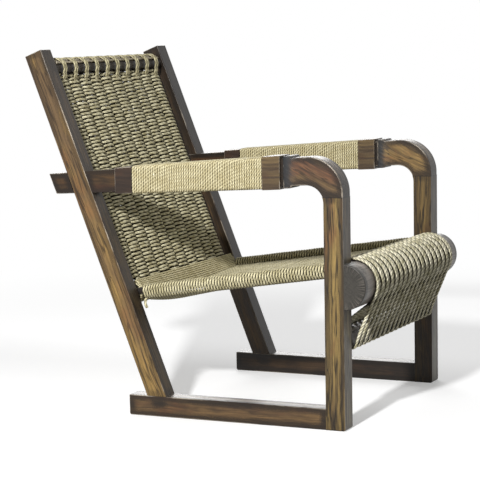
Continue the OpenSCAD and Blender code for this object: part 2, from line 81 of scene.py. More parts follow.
world = bpy.data.worlds.new("white_studio")
scene.world = world
fill_strength = 0.14
tree = fresh_tree(world)
rays = add_node(tree, "ShaderNodeLightPath")
seen = add_node(tree, "ShaderNodeMath", {0: rays.outputs["Is Camera Ray"],
                                         1: rays.outputs["Is Glossy Ray"]}, operation="MAXIMUM")
white_seen = add_node(tree, "ShaderNodeMath", {0: seen.outputs[0], 1: rays.outputs["Is Transmission Ray"]},
                      operation="MAXIMUM")
strength = add_node(tree, "ShaderNodeMapRange", {0: white_seen.outputs[0], 3: fill_strength, 4: 1.0})
sky = add_node(tree, "ShaderNodeBackground", {0: linear("#ffffff"), 1: strength.outputs[0]})
add_node(tree, "ShaderNodeOutputWorld", {0: sky.outputs[0]})

# Small disc lamp 3.7 m away on the sitter's right and 1.9 m up, so the shadow has a fairly clear edge
key = bpy.data.lights.new("key", "AREA")
key.shape = "DISK"
key.size = 0.2
key.energy = 165
key_light = bpy.data.objects.new("key", key)
key_light.location = (-3.35, -0.43, 1.86)
seat_middle = Vector((0, 0, 0.4))
key_light.rotation_euler = (seat_middle - key_light.location).to_track_quat("-Z", "Y").to_euler()
scene.collection.objects.link(key_light)

# Wide soft lamp in front, a little above the chair, which reaches the back, the seat and the roller
front = bpy.data.lights.new("front_fill", "SUN")
front.energy = 0.5
front.angle = math.radians(35)
front_light = bpy.data.objects.new("front_fill", front)
front_light.rotation_euler = Vector((0.12, 1.0, -0.42)).to_track_quat("-Z", "Y").to_euler()
scene.collection.objects.link(front_light)

# Wide soft lamp from behind the sitter's left shoulder, which only the left and rear faces see
back = bpy.data.lights.new("back_fill", "SUN")
back.energy = 1.6
back.angle = math.radians(40)
back_light = bpy.data.objects.new("back_fill", back)
back_light.rotation_euler = Vector((-1.0, -0.6, -0.6)).to_track_quat("-Z", "Y").to_euler()
scene.collection.objects.link(back_light)

# White paper. Its glow for camera and glossy rays lifts it to white and leaves the shadow on it, deeper
# on the lamp's side, and it sends less light back up at the chair than it shows. Far from the chair
# it is plain white
paper_half = 12
glow_weak, glow_full = 0.28, 0.41
white_from, white_at = 0.9, 2.3
shape = bmesh.new()
bmesh.ops.create_grid(shape, x_segments=1, y_segments=1, size=paper_half)
floor_mesh = bpy.data.meshes.new("floor")
shape.to_mesh(floor_mesh)
shape.free()
floor = bpy.data.objects.new("floor", floor_mesh)
scene.collection.objects.link(floor)
paper = bpy.data.materials.new("matt_white_paper")
tree = fresh_tree(paper)
rays = add_node(tree, "ShaderNodeLightPath")
seen = add_node(tree, "ShaderNodeMath", {0: rays.outputs["Is Camera Ray"],
                                         1: rays.outputs["Is Glossy Ray"]}, operation="MAXIMUM")
matt = add_node(tree, "ShaderNodeBsdfDiffuse", {"Color": linear("#ececec")})
place = add_node(tree, "ShaderNodeTexCoord")
across = add_node(tree, "ShaderNodeSeparateXYZ", {0: place.outputs["Object"]})
lift = add_node(tree, "ShaderNodeMapRange", {0: across.outputs[0], 1: 0.2, 2: 0.7, 3: glow_weak,
                                             4: glow_full}, interpolation_type="SMOOTHSTEP")
glow = add_node(tree, "ShaderNodeEmission", {0: linear("#ffffff"), 1: lift.outputs[0]})
near = add_node(tree, "ShaderNodeAddShader", {0: matt.outputs[0], 1: glow.outputs[0]})
white = add_node(tree, "ShaderNodeEmission", {0: linear("#ffffff"), 1: 1.0})
dim = add_node(tree, "ShaderNodeBsdfDiffuse", {"Color": linear("#8c8c8c")})
way_off = add_node(tree, "ShaderNodeVectorMath", {0: place.outputs["Object"], 1: (0.3, 0.0, 0.0)},
                   operation="DISTANCE")
far_off = add_node(tree, "ShaderNodeMapRange", {0: way_off.outputs["Value"], 1: white_from, 2: white_at},
                   interpolation_type="SMOOTHSTEP")
sheet = add_node(tree, "ShaderNodeMixShader", {0: far_off.outputs[0], 1: near.outputs[0],
                                               2: white.outputs[0]})
shown = add_node(tree, "ShaderNodeMixShader", {0: seen.outputs[0], 1: dim.outputs[0], 2: sheet.outputs[0]})
add_node(tree, "ShaderNodeOutputMaterial", {0: shown.outputs[0]})
floor_mesh.materials.append(paper)

# Long lens 4.5 m away at the right front, a little higher than the top of the chair
lens = bpy.data.cameras.new("camera")
lens.lens = 138.52
camera = bpy.data.objects.new("camera", lens)
camera.location = (-4.0562, -1.8457, 0.8939)
pan = Matrix.Rotation(math.radians(-65.198), 3, "Z")
tilt = Matrix.Rotation(math.radians(90 - 6.578), 3, "X")
roll = Matrix.Rotation(math.radians(-1.0225), 3, "Z")
camera.rotation_euler = (pan @ tilt @ roll).to_euler()
scene.collection.objects.link(camera)
scene.camera = camera

# ---------------------------------------------------------------- floor runners
# Two square-sawn bars of brushed fir, stained walnut and waxed. They lie on the floor, are tenoned
# into the front posts and carry the back legs. Handling and dust have darkened them.


def brushed_fir(name, centre, half, grain, golden, warm, stain, dark, front="#56514a", front_up_painted=None,
                top="#a39a8f", front_painted_share=0.7, streaky=0.4, ringing=0.15, veins=0.4, ring=8, fade=0.0,
                end_from=0.95, dirty=0.85, seam=0.0, painted_shade_band=None, end_checks=False, seed=0.0):
    """Brushed softwood under a brown stain and wax: the soft rings drink the stain and go dark, the
    hard ones stay golden, and scuffed patches show the warm wood under the stain. Faces to the front
    take the colour front, towards front_up_painted at the upper end, by the share front_painted_share:
    this is painted sheen, a grey reflection of the white surroundings, where these colours are grey,
    and painted shade where they are near black. Faces upward are paler with a painted sheen. half is
    the piece's half size about its centre in metres, once grain, its turn, has brought its length to Z.
    ring is the growth ring's width in millimetres, and fade lightens the piece towards its upper end.
    The ends darken from the share end_from of the half length, and the dark line of an open joint
    takes the share seam of it at each end. painted_shade_band gives two places along the chair between
    which the wood turns blue-black, as painted shade. end_checks splits a round piece's ends at the rim."""
    material = bpy.data.materials.new(name)
    tree = fresh_tree(material)

    def noise_field(vector, scale, detail, shift):
        """Noise stretched by scale, per metre, with a pattern of its own for this piece."""
        stretched = add_node(tree, "ShaderNodeMapping", {0: vector, 3: scale})
        field = add_node(tree, "ShaderNodeTexNoise", {"Vector": stretched.outputs[0], "W": seed + shift,
                                                      "Scale": 1.0, "Detail": detail, "Roughness": 0.6},
                         noise_dimensions="4D")
        return field.outputs["Fac"], field.outputs["Color"]

    def steps(value, low, high, top=1.0, bottom=0.0):
        """Smooth step from bottom to top while value goes from low to high."""
        step = add_node(tree, "ShaderNodeMapRange", {0: value, 1: low, 2: high, 3: bottom, 4: top},
                        interpolation_type="SMOOTHSTEP")
        return step.outputs[0]

    def blend(share, under, over):
        """Lays one colour over another by a share."""
        mixed = add_node(tree, "ShaderNodeMix", {0: share, 6: under, 7: over}, data_type="RGBA")
        return mixed.outputs[2]

    place = add_node(tree, "ShaderNodeTexCoord")
    local = add_node(tree, "ShaderNodeMapping", {0: place.outputs["Object"], 1: centre, 2: grain},
                     vector_type="TEXTURE").outputs[0]
    # The grain wanders about 8 mm to either side along 150 mm
    _, wander = noise_field(local, (9.0, 9.0, 5.0), 2.0, 0.0)
    sway = add_node(tree, "ShaderNodeVectorMath", {0: wander, 1: (0.03, 0.03, 0.0), 2: local},
                    operation="MULTIPLY_ADD").outputs[0]
    pith = add_node(tree, "ShaderNodeVectorMath", {0: sway, 1: (0.055, 0.031 + 0.002 * seed, 0.0)})
    rings = add_node(tree, "ShaderNodeTexWave", {"Vector": pith.outputs[0], "Scale": 314 / ring,
                                                 "Distortion": 3.0, "Detail": 3.0, "Detail Scale": 1.5},
                     wave_type="RINGS", rings_direction="Z", wave_profile="SIN").outputs["Fac"]
    # Brushed fibre, drawn 3 mm wide because the real 0.5 mm would not show, streaks 15 mm wide and up to
    # half a metre long, clouds 60 mm across, and dark checks 2 to 3 mm wide
    fibre, _ = noise_field(sway, (330.0, 330.0, 9.0), 3.0, 1.0)
    streak, _ = noise_field(sway, (62.0, 62.0, 2.4), 3.0, 2.0)
    cloud, _ = noise_field(local, (19.0, 19.0, 8.0), 4.0, 3.0)
    patch, _ = noise_field(local, (24.0, 24.0, 9.0), 3.0, 4.0)
    check, _ = noise_field(sway, (85.0, 85.0, 3.4), 2.0, 5.0)
    # Grime lies along every edge and joint, up to 15 mm in, and at the two ends
    share = add_node(tree, "ShaderNodeVectorMath", {0: local, 1: half}, operation="DIVIDE")
    ways = add_node(tree, "ShaderNodeSeparateXYZ", {0: share.outputs[0]})
    end_share = add_node(tree, "ShaderNodeMath", {0: ways.outputs[2]}, operation="ABSOLUTE")
    inner = add_node(tree, "ShaderNodeAmbientOcclusion", {"Distance": 0.018}, samples=6, inside=True,
                     only_local=True)
    ragged = add_node(tree, "ShaderNodeMath", {0: patch, 1: 0.35, 2: inner.outputs["AO"]},
                      operation="MULTIPLY_ADD")
    ragged_end = add_node(tree, "ShaderNodeMath", {0: cloud, 1: 0.1, 2: end_share.outputs[0]},
                          operation="MULTIPLY_ADD")
    edge = steps(ragged.outputs[0], 1.16, 1.0)
    end = steps(ragged_end.outputs[0], end_from + 0.05, max(1.05, end_from + 0.1))
    dirt = add_node(tree, "ShaderNodeMath", {0: edge, 1: end}, operation="MAXIMUM")
    dirt_share = add_node(tree, "ShaderNodeMath", {0: dirt.outputs[0], 1: dirty}, operation="MULTIPLY")
    # How golden the wood is: streaks and clouds, lighter towards the upper end
    tone = add_node(tree, "ShaderNodeMix", {0: streaky, 2: cloud, 3: streak})
    faded = add_node(tree, "ShaderNodeMath", {0: ways.outputs[2], 1: fade, 2: tone.outputs[0]},
                     operation="MULTIPLY_ADD")
    ring_dark = add_node(tree, "ShaderNodeMapRange", {0: rings, 1: 0.75, 2: 0.1, 3: 0.0, 4: ringing})
    fibre_dark = add_node(tree, "ShaderNodeMapRange", {0: fibre, 1: 0.55, 2: 0.35, 3: 0.0, 4: 0.45})
    check_side = add_node(tree, "ShaderNodeMath", {0: check, 1: 0.5}, operation="SUBTRACT")
    check_far = add_node(tree, "ShaderNodeMath", {0: check_side.outputs[0]}, operation="ABSOLUTE")
    wood = blend(steps(faded.outputs[0], 0.38, 0.62), linear(stain), linear(golden))
    wood = blend(steps(patch, 0.5, 0.66, top=0.75), wood, linear(warm))
    # Painted sheen and shade by facing: front faces take front and front_up_painted, a grey reflection of
    # the white surroundings on most pieces and near-black shade on the legs, and upward faces take the
    # paler top colour as painted sheen
    facing = add_node(tree, "ShaderNodeSeparateXYZ", {0: place.outputs["Normal"]})
    painted_front_colour = blend(steps(ways.outputs[2], -0.4, 0.6), linear(front), linear(front_up_painted or front))
    wood = blend(steps(facing.outputs[1], -0.5, -0.9, top=front_painted_share), wood, painted_front_colour)
    wood = blend(steps(facing.outputs[2], 0.5, 0.95, top=0.6), wood, linear(top))
    wood = blend(ring_dark.outputs[0], wood, linear(dark))
    wood = blend(fibre_dark.outputs[0], wood, linear(stain))
    wood = blend(steps(check_far.outputs[0], 0.0, 0.045, top=0.0, bottom=veins), wood, linear(dark))
    wood = blend(dirt_share.outputs[0], wood, linear(dark))
    if seam:
        wood = blend(steps(end_share.outputs[0], 1 - seam, 1 - seam / 2, top=0.9), wood, linear("#0f0d0c"))
    # Painted shade: between the two places the wood turns blue-black
    if painted_shade_band:
        along = add_node(tree, "ShaderNodeSeparateXYZ", {0: place.outputs["Object"]})
        wood = blend(steps(along.outputs[1], painted_shade_band[0], painted_shade_band[1], top=0.75), wood, linear("#24272a"))
    if end_checks:
        flat = add_node(tree, "ShaderNodeVectorMath", {0: local, 1: (1.0, 1.0, 0.0)}, operation="MULTIPLY")
        spoke = add_node(tree, "ShaderNodeVectorMath", {0: flat.outputs[0]}, operation="NORMALIZE")
        spokes, _ = noise_field(spoke.outputs[0], (24.0, 24.0, 1.0), 3.0, 6.0)
        out = add_node(tree, "ShaderNodeVectorMath", {0: flat.outputs[0]}, operation="LENGTH")
        sawn = add_node(tree, "ShaderNodeMath", {0: facing.outputs[0]}, operation="ABSOLUTE")
        rim = add_node(tree, "ShaderNodeMath", {0: steps(out.outputs["Value"], 0.03, 0.047),
                                                1: steps(sawn.outputs[0], 0.8, 0.95)}, operation="MULTIPLY")
        open_checks = add_node(tree, "ShaderNodeMath", {0: rim.outputs[0],
                                                        1: steps(spokes, 0.52, 0.6, top=0.7)},
                               operation="MULTIPLY")
        pale_ribs = add_node(tree, "ShaderNodeMath", {0: rim.outputs[0],
                                                      1: steps(spokes, 0.48, 0.38, top=0.3)},
                             operation="MULTIPLY")
        wood = blend(open_checks.outputs[0], wood, linear("#161412"))
        wood = blend(pale_ribs.outputs[0], wood, linear("#8b8379"))
    # Pale colour on the rounded edges: partly real wear of the stain, partly a painted highlight along the
    # arris
    edge_wear_and_glint = add_node(tree, "ShaderNodeAttribute", attribute_name="edge_wear_and_glint")
    wear_and_glint = add_node(tree, "ShaderNodeMath", {0: edge_wear_and_glint.outputs["Fac"], 1: steps(cloud, 0.44, 0.6, top=0.6)},
                    operation="MULTIPLY")
    wood = blend(wear_and_glint.outputs[0], wood, linear("#b5aa9a"))
    wax = add_node(tree, "ShaderNodeMapRange", {0: fibre, 1: 0.3, 2: 0.7, 3: 0.45, 4: 0.3})
    relief = add_node(tree, "ShaderNodeMath", {0: rings, 1: 0.4, 2: fibre}, operation="MULTIPLY_ADD")
    bump = add_node(tree, "ShaderNodeBump", {"Strength": 0.4, "Distance": 0.0004,
                                             "Height": relief.outputs[0]})
    surface = add_node(tree, "ShaderNodeBsdfPrincipled", {"Base Color": wood, "Roughness": wax.outputs[0],
                                                          "IOR": 1.45, "Specular IOR Level": 0.3,
                                                          "Normal": bump.outputs[0]})
    add_node(tree, "ShaderNodeOutputMaterial", {0: surface.outputs[0]})
    return material


def eased_copy(node, round_off, material):
    """Stands for a CAD node with its open edges rounded over. Edges that meet another piece stay crisp."""
    touching = 0.0008
    rounded_from = math.radians(30)
    creased_from = math.radians(38)
    corners, sides = [], []
    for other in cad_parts.values():
        if other.name == node:
            continue
        first = len(corners)
        corners += [v.co for v in other.data.vertices]
        sides += [[first + i for i in side.vertices] for side in other.data.polygons]
    neighbours = BVHTree.FromPolygons(corners, sides)
    shape = bmesh.new()
    shape.from_mesh(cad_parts[node].data)
    edge_wear_and_glint = shape.faces.layers.float.new("edge_wear_and_glint")
    bmesh.ops.remove_doubles(shape, verts=shape.verts, dist=0.00002)
    bmesh.ops.dissolve_limit(shape, angle_limit=math.radians(0.5), verts=shape.verts, edges=shape.edges)
    open_edges = []
    for edge in shape.edges:
        if len(edge.link_faces) != 2 or not edge.is_convex or edge.calc_face_angle() < rounded_from:
            continue
        start, end = (v.co for v in edge.verts)
        probes = [start.lerp(end, share) for share in (0.2, 0.5, 0.8)]
        if any(neighbours.find_nearest(probe, touching)[0] is None for probe in probes):
            open_edges.append(edge)
    rounds = bmesh.ops.bevel(shape, geom=open_edges, offset=round_off, offset_type="OFFSET",
                             affect="EDGES", segments=3, profile=0.5, material=-1, clamp_overlap=True)
    # The rounded faces are marked for the pale edge colour, partly wear and partly painted highlight
    for face in rounds["faces"]:
        face[edge_wear_and_glint] = 1.0
    for face in shape.faces:
        face.smooth = True
    for edge in shape.edges:
        edge.smooth = len(edge.link_faces) == 2 and edge.calc_face_angle() < creased_from
    name = node + "_timber"
    mesh = bpy.data.meshes.new(name)
    shape.to_mesh(mesh)
    shape.free()
    mesh.materials.append(material)
    piece = bpy.data.objects.new(name, mesh)
    scene.collection.objects.link(piece)
    even = piece.modifiers.new("even_shading", "WEIGHTED_NORMAL")
    even.keep_sharp = True
    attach(piece, "root")
    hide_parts(node)
    return piece


def middle_and_half(node, turn):
    """Centre of a node's box, and its half size once turn has brought the piece's length to Z."""
    low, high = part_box(node)
    extent = (high - low) / 2
    along = {"x": (extent.z, extent.y, extent.x), "y": (extent.x, extent.z, extent.y), "z": tuple(extent)}
    return tuple((low + high) / 2), along[turn]


timber_round = 0.002
along_y = (math.radians(-90), 0.0, 0.0)
# The left runner is darker than the right: partly its stain, partly painted shade where the near frame
# shades it
for side, golden, warm, stain, seed in (("right", "#71593b", "#61432d", "#3f3127", 1.3),
                                        ("left", "#4c3b2b", "#402e23", "#27201b", 4.1)):
    middle, half = middle_and_half("runner_" + side, "y")
    fir = brushed_fir("brushed_fir_runner_" + side, middle, half, along_y, golden=golden, warm=warm,
                      stain=stain, dark="#1c1815", front="#3a342e", streaky=0.3, end_from=0.9, seed=seed)
    eased_copy("runner_" + side, timber_round, fir)

# ---------------------------------------------------------------- front posts
# Two square posts of the same fir, with strong straight rings that show as golden and near-black
# stripes. Each takes its runner's tenon at the foot and is pegged into its elbow block at the top.
# The left post is darker than the right and lightens towards its top by its fade: partly its stain, partly
# painted shade of the seat, the roller and the near post on its lower part
for side, golden, warm, stain, fade, seed in (("right", "#937b4a", "#7d5a3a", "#41352a", -0.05, 2.2),
                                              ("left", "#725d39", "#5c442b", "#2b231a", 0.12, 5.7)):
    middle, half = middle_and_half("front_post_" + side, "z")
    fir = brushed_fir("brushed_fir_post_" + side, middle, half, (0.0, 0.0, 0.0), golden=golden, warm=warm,
                      stain=stain, dark="#211c17", front="#7b7769", front_up_painted="#4b4740", front_painted_share=0.6,
                      streaky=0.75, ringing=0.25, veins=0.9, fade=fade, end_from=0.96, dirty=0.5,
                      seam=0.008, seed=seed)
    eased_copy("front_post_" + side, timber_round, fir)

# ---------------------------------------------------------------- elbow blocks
# Two blocks band-sawn to a quarter round from thick stock, so their grain runs slantwise through the
# bend. The rear end swells to a shoulder. They are pegged to the post below and the arm behind.
slant = (math.radians(-63), 0.0, 0.0)
elbow_round = 0.0025
for side, golden, warm, stain, seed in (("right", "#70593b", "#6b4935", "#3a3029", 3.1),
                                        ("left", "#977b4d", "#8a623c", "#44372a", 6.3)):
    middle, half = middle_and_half("elbow_" + side, "y")
    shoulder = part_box("elbow_" + side)[1].y
    # The shoulder turns blue-black next to the cuff: painted shade of the cuff's shadow
    fir = brushed_fir("brushed_fir_elbow_" + side, middle, (half[0], 0.2, 0.2), slant, golden=golden,
                      warm=warm, stain=stain, dark="#241e19", front="#5f5b55", streaky=0.6, ringing=0.3,
                      ring=10, veins=0.7, end_from=2.0,
                      painted_shade_band=(shoulder - 0.026, shoulder - 0.008), seed=seed)
    eased_copy("elbow_" + side, elbow_round, fir)

# ---------------------------------------------------------------- arm rails
# Two straight rails behind the elbows. Each is half-lapped over its back leg and runs on behind it
# to a raked tail. Only the bare stretch before the leg and the tail are seen.
for side, seed in (("right", 7.4), ("left", 8.8)):
    middle, half = middle_and_half("arm_rail_" + side, "y")
    fir = brushed_fir("brushed_fir_arm_" + side, middle, half, along_y, golden="#594229", warm="#4a3122",
                      stain="#2d231a", dark="#1a1613", streaky=0.3, ringing=0.1, seed=seed)
    eased_copy("arm_rail_" + side, timber_round, fir)

# ---------------------------------------------------------------- back legs
# Two long leaning legs, the most golden timber of the chair, dark along their edges. The foot is
# tenoned into the runner, and the upper end is sawn square.
lean = math.radians(21)
leg_half = 0.023
# The left leg is darker than the right: partly its stain, partly painted shade of the seat. On both legs
# the front faces take near-black painted shade, a little lighter at the top
for side, golden, warm, stain, seed in (("right", "#9c7e4a", "#7e5c3b", "#67533b", 9.2),
                                        ("left", "#574328", "#4a3522", "#2a221a", 10.6)):
    low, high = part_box("back_leg_" + side)
    middle = (low + high) / 2
    length = (high.z - low.z) / math.cos(lean)
    fir = brushed_fir("brushed_fir_leg_" + side, middle, (leg_half, leg_half, length / 2),
                      (-lean, 0.0, 0.0), golden=golden, warm=warm, stain=stain, dark="#1e1915",
                      front="#181614", front_up_painted="#2c2a28", front_painted_share=0.85, streaky=0.35, ringing=0.25,
                      veins=0.7, fade=-0.1, dirty=0.5, seed=seed)
    eased_copy("back_leg_" + side, timber_round, fir)

# ---------------------------------------------------------------- arm cuffs
# Four square sleeves of thin, dark stained wood that slide over the arms and hold the ends of the
# cord winding. The front ones have the thicker wall.
cuff_round = 0.0015
for place_name, cuff_golden, cuff_stain, seed in (("front", "#86704c", "#4f4030", 11.5),
                                                  ("rear", "#4c3b2e", "#2a211d", 12.9)):
    for side in ("right", "left"):
        node = place_name + "_cuff_" + side
        middle, half = middle_and_half(node, "y")
        fir = brushed_fir("brushed_fir_" + node, middle, half, along_y, golden=cuff_golden, warm="#5a3c2a",
                          stain=cuff_stain, dark="#2a221d", streaky=0.9, dirty=0.5, end_from=2.0, seed=seed)
        eased_copy(node, cuff_round, fir)

# ---------------------------------------------------------------- front roller
# One fat turned roller of fir, half-lapped over the posts and pegged. Its dark grey stain is worn
# to a satin grey on the round, and its sawn ends show rings and checks.
middle, half = middle_and_half("front_roller", "x")
along_x = (0.0, math.radians(90), 0.0)
fir = brushed_fir("brushed_fir_roller", middle, (1.0, 1.0, half[2]), along_x, golden="#a0988f",
                  warm="#948a82", stain="#7d756e", dark="#262521", front="#7c756e", top="#b5aea8", ring=6,
                  end_from=0.945, dirty=0.9, end_checks=True, seed=13.7)
eased_copy("front_roller", timber_round, fir)

# ---------------------------------------------------------------- hidden bars and pegs
# The low stretcher, the top and rear bars and the two seat rails are plain turned or sawn members
# stained near black, under the rope. The pegs are bare hardwood dowels inside the joints.


def finish_node(node, material):
    """Gives a CAD node that shows as it is, or stays hidden in a joint, its one material."""
    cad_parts[node].data.materials.clear()
    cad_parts[node].data.materials.append(material)


for node, turn, grain, seed in (("front_stretcher", "x", along_x, 14.2), ("top_bar", "x", along_x, 14.2),
                                ("rear_bar", "x", along_x, 14.2), ("seat_rail_right", "y", along_y, 15.2),
                                ("seat_rail_left", "y", along_y, 15.2)):
    middle, half = middle_and_half(node, turn)
    near_black = brushed_fir("stained_fir_" + node, middle, (1.0, 1.0, half[2]), grain, golden="#4d443c",
                             warm="#4a3c32", stain="#39332e", dark="#262321", seed=seed)
    finish_node(node, near_black)
dowel = brushed_fir("bare_dowel_wood", (0.0, 0.0, 0.0), (1.0, 1.0, 1.0), (0.0, 0.0, 0.0), golden="#b08c63",
                    warm="#a57f57", stain="#8d6c49", dark="#5f4730", veins=0.1, ring=3, end_from=2.0,
                    seed=16.0)
for node in ("elbow_pegs", "roller_pegs"):
    finish_node(node, dowel)

# ---------------------------------------------------------------- back warps
# Ten warps of three dark seagrass cords each run up the leaning back, from the rear bar to the top bar.
# They carry the weft and only show in the open gap under the top bar.
panel_foot = sum(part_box("rear_bar"), Vector()) / 2
top_centre = sum(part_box("top_bar"), Vector()) / 2
panel_up = (top_centre - panel_foot).normalized()
panel_front = Vector((0, -panel_up.z, panel_up.y))
panel_length = (top_centre - panel_foot).length
warp_pitch = 0.0524
warp_x = [(warp - 4.5) * warp_pitch for warp in range(10)]
strand_pitch = 0.0058
weave_foot = 0.0285


def on_panel(across, up, out):
    """A point of the back: across the chair, up the panel from the rear bar, and out to the front."""
    return panel_foot + Vector((across, 0, 0)) + panel_up * up + panel_front * out


def rounded_line(points, rounds=3):
    """Cuts a line's corners again and again until it is a smooth bend, and keeps its two ends."""
    line = np.array([tuple(p) for p in points], float)
    for _ in range(rounds):
        near = 0.75 * line[:-1] + 0.25 * line[1:]
        far = 0.25 * line[:-1] + 0.75 * line[1:]
        line = np.concatenate([line[:1], np.stack([near, far], 1).reshape(-1, 3), line[-1:]])
    return line


def laid_cord(name, runs, thick, lay, material, plies=2, sides=8, ring=0.0025, swell=None, ply_depth=0.2):
    """Twisted cord along each run of points. Its plies turn once in the length lay, and stand out by the
    share ply_depth. A cross-section with the given number of sides comes every ring metres. swell gives
    each run's share of the full thickness, one number for each point."""
    section = bpy.data.curves.new(name + "_section", "CURVE")
    section.dimensions = "2D"
    outline = section.splines.new("POLY")
    outline.points.add(sides - 1)
    outline.use_cyclic_u = True
    for i, point in enumerate(outline.points):
        angle = -2 * math.pi * i / sides
        reach = thick / 2 * (1 - ply_depth + ply_depth * math.cos(plies * angle))
        point.co = (reach * math.cos(angle), reach * math.sin(angle), 0, 1)
    section_object = bpy.data.objects.new(name + "_section", section)
    path = bpy.data.curves.new(name + "_path", "CURVE")
    path.dimensions = "3D"
    path.bevel_mode = "OBJECT"
    path.bevel_object = section_object
    path.use_fill_caps = True
    path.twist_mode = "MINIMUM"
    for number, run in enumerate(runs):
        line = np.array([tuple(p) for p in run], float)
        reach = np.concatenate([[0], np.cumsum(np.linalg.norm(np.diff(line, axis=0), axis=1))])
        count = max(3, round(reach[-1] / ring) + 1)
        at = np.linspace(0, reach[-1], count)
        spline = path.splines.new("POLY")
        spline.points.add(count - 1)
        places = np.ones((count, 4))
        for axis in range(3):
            places[:, axis] = np.interp(at, reach, line[:, axis])
        spline.points.foreach_set("co", places.ravel())
        spline.points.foreach_set("tilt", 2 * math.pi * at / lay)
        shares = np.ones(count) if swell is None else np.interp(at, reach, swell[number])
        spline.points.foreach_set("radius", shares)
    path_object = bpy.data.objects.new(name + "_path", path)
    scene.collection.objects.link(section_object)
    scene.collection.objects.link(path_object)
    drawn = path_object.evaluated_get(bpy.context.evaluated_depsgraph_get())
    mesh = bpy.data.meshes.new_from_object(drawn)
    bpy.data.objects.remove(path_object)
    bpy.data.objects.remove(section_object)
    shape = bmesh.new()
    shape.from_mesh(mesh)
    bmesh.ops.remove_doubles(shape, verts=shape.verts, dist=0.000001)
    shape.to_mesh(mesh)
    shape.free()
    mesh.name = name
    mesh.materials.clear()
    mesh.materials.append(material)
    piece = bpy.data.objects.new(name, mesh)
    scene.collection.objects.link(piece)
    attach(piece, "root")
    return piece


def seagrass(name, light, straw, shade, plies=2, mottle=14, grooves=0.8, crease=(0.3, 0.75),
             reach=0.009):
    """Twisted dry grass: matt, pale on the crowns of the plies and darkened by painted shade in the
    grooves between them by the share grooves, with strands that ripened greener or paler every mottle
    millimetres. Painted shade also darkens the creases where cords touch: crease gives how open a
    spot is, within reach metres, where this painted shade is full and where it is gone."""
    material = bpy.data.materials.new(name)
    tree = fresh_tree(material)
    place = add_node(tree, "ShaderNodeTexCoord")
    parts = add_node(tree, "ShaderNodeSeparateXYZ", {0: place.outputs["UV"]})
    around = add_node(tree, "ShaderNodeMath", {0: parts.outputs[1], 1: 2 * math.pi * plies},
                      operation="MULTIPLY")
    crown = add_node(tree, "ShaderNodeMath", {0: around.outputs[0]}, operation="COSINE")
    patch = add_node(tree, "ShaderNodeTexNoise", {"Vector": place.outputs["Object"], "Scale": 1000 / mottle,
                                                  "Detail": 3.0, "Roughness": 0.6})
    # Loose fibre, drawn 2 mm wide because the real 0.3 mm would not show
    fibre = add_node(tree, "ShaderNodeTexNoise", {"Vector": place.outputs["Object"], "Scale": 480.0,
                                                  "Detail": 2.0})
    ripe = add_node(tree, "ShaderNodeMapRange", {0: patch.outputs[0], 1: 0.36, 2: 0.64})
    grass = add_node(tree, "ShaderNodeMix", {0: ripe.outputs[0], 6: linear(straw), 7: linear(light)},
                     data_type="RGBA")
    # Painted shade in the grooves between the plies
    groove_shade = add_node(tree, "ShaderNodeMapRange", {0: crown.outputs[0], 1: 0.1, 2: -0.9, 3: 0.0, 4: grooves},
                    interpolation_type="SMOOTHSTEP")
    dry = add_node(tree, "ShaderNodeMapRange", {0: fibre.outputs[0], 1: 0.52, 2: 0.7, 3: 0.0, 4: 0.55})
    # Painted shade in the creases where cords touch, from how open each spot is
    open_side = add_node(tree, "ShaderNodeAmbientOcclusion", {"Distance": reach}, samples=6)
    crease_shade = add_node(tree, "ShaderNodeMapRange", {0: open_side.outputs["AO"], 1: crease[0], 2: crease[1],
                                                  3: 1.0, 4: 0.0}, interpolation_type="SMOOTHSTEP")
    groove_shade_and_speckle = add_node(tree, "ShaderNodeMath", {0: groove_shade.outputs[0], 1: dry.outputs[0]},
                        operation="MAXIMUM")
    painted_shade_and_speckle = add_node(tree, "ShaderNodeMath", {0: groove_shade_and_speckle.outputs[0], 1: crease_shade.outputs[0]},
                      operation="MAXIMUM")
    colour = add_node(tree, "ShaderNodeMix", {0: painted_shade_and_speckle.outputs[0], 6: grass.outputs[2], 7: linear(shade)},
                      data_type="RGBA")
    bump = add_node(tree, "ShaderNodeBump", {"Strength": 0.6, "Distance": 0.0006,
                                             "Height": fibre.outputs[0]})
    surface = add_node(tree, "ShaderNodeBsdfPrincipled", {"Base Color": colour.outputs[2],
                                                          "Roughness": 0.75, "Specular IOR Level": 0.15,
                                                          "Normal": bump.outputs[0]})
    add_node(tree, "ShaderNodeOutputMaterial", {0: surface.outputs[0]})
    return material


dark_grass = seagrass("seagrass_warp_cord", light="#6d6248", straw="#5a5039", shade="#2c2619")
weave_top_gap = 0.030
warp_top = panel_length - weave_top_gap
runs = []
for x in warp_x:
    for strand in (-1, 0, 1):
        runs.append([on_panel(x + strand * strand_pitch, up, 0)
                     for up in np.linspace(weave_foot, warp_top, 60)])
warps = laid_cord("back_warps", runs, thick=0.006, lay=0.018, material=dark_grass, sides=6, ring=0.004)

# ---------------------------------------------------------------- back weft
# One long seagrass rope goes to and fro, over one warp and under the next, and turns round the outer
# warps. It fattens where it crosses a warp and is beaten down tight, so 116 rows fill the back.
weft_rows = 116
weft_top_gap = 0.0205
weft_pitch = (panel_length - weft_top_gap - weave_foot) / (weft_rows - 1)
weft_swing = 0.0068
weft_turn = 0.0215
row_waver = 0.0022
half_weave = warp_x[-1]
weft_grass = seagrass("seagrass_weft_rope", light="#e9e2bf", straw="#aea580", shade="#241e13", grooves=0.35,
                      crease=(0.53, 0.99))


